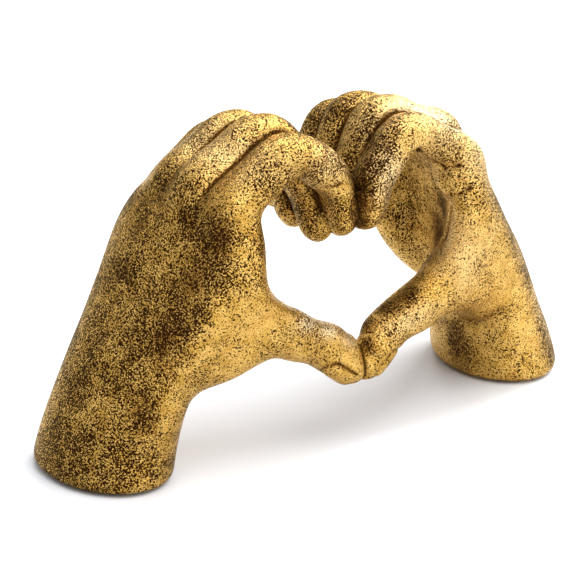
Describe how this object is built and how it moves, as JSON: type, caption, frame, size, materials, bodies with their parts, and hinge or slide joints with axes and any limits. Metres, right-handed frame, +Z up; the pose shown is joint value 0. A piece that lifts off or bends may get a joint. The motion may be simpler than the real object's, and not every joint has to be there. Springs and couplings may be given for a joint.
{
  "type": "heart hands ornament",
  "caption": "Ornament of cast hands that curl together into a heart, fingertips and thumbs touching, standing on the cut-off forearms with felt under each foot.",
  "frame": {"origin": "centre of the bounding box at the height of the table it stands on", "axes": "+X across both hands, towards the right hand; +Y from the side of the index fingers and thumbs towards the little fingers; +Z up"},
  "size_m": [0.2494, 0.083, 0.1375],
  "materials": {
    "gold_leaf_resin": "satin",
    "felt": "matte",
    "steel": "satin"
  },
  "bodies": {
    "root": {"left_hand": "gold_leaf_resin", "right_hand": "gold_leaf_resin", "left_felt_pad": "felt", "right_felt_pad": "felt", "thumb_dowel": "steel", "front_finger_dowel": "steel", "rear_finger_dowel": "steel"}
  },
  "joints": []
}
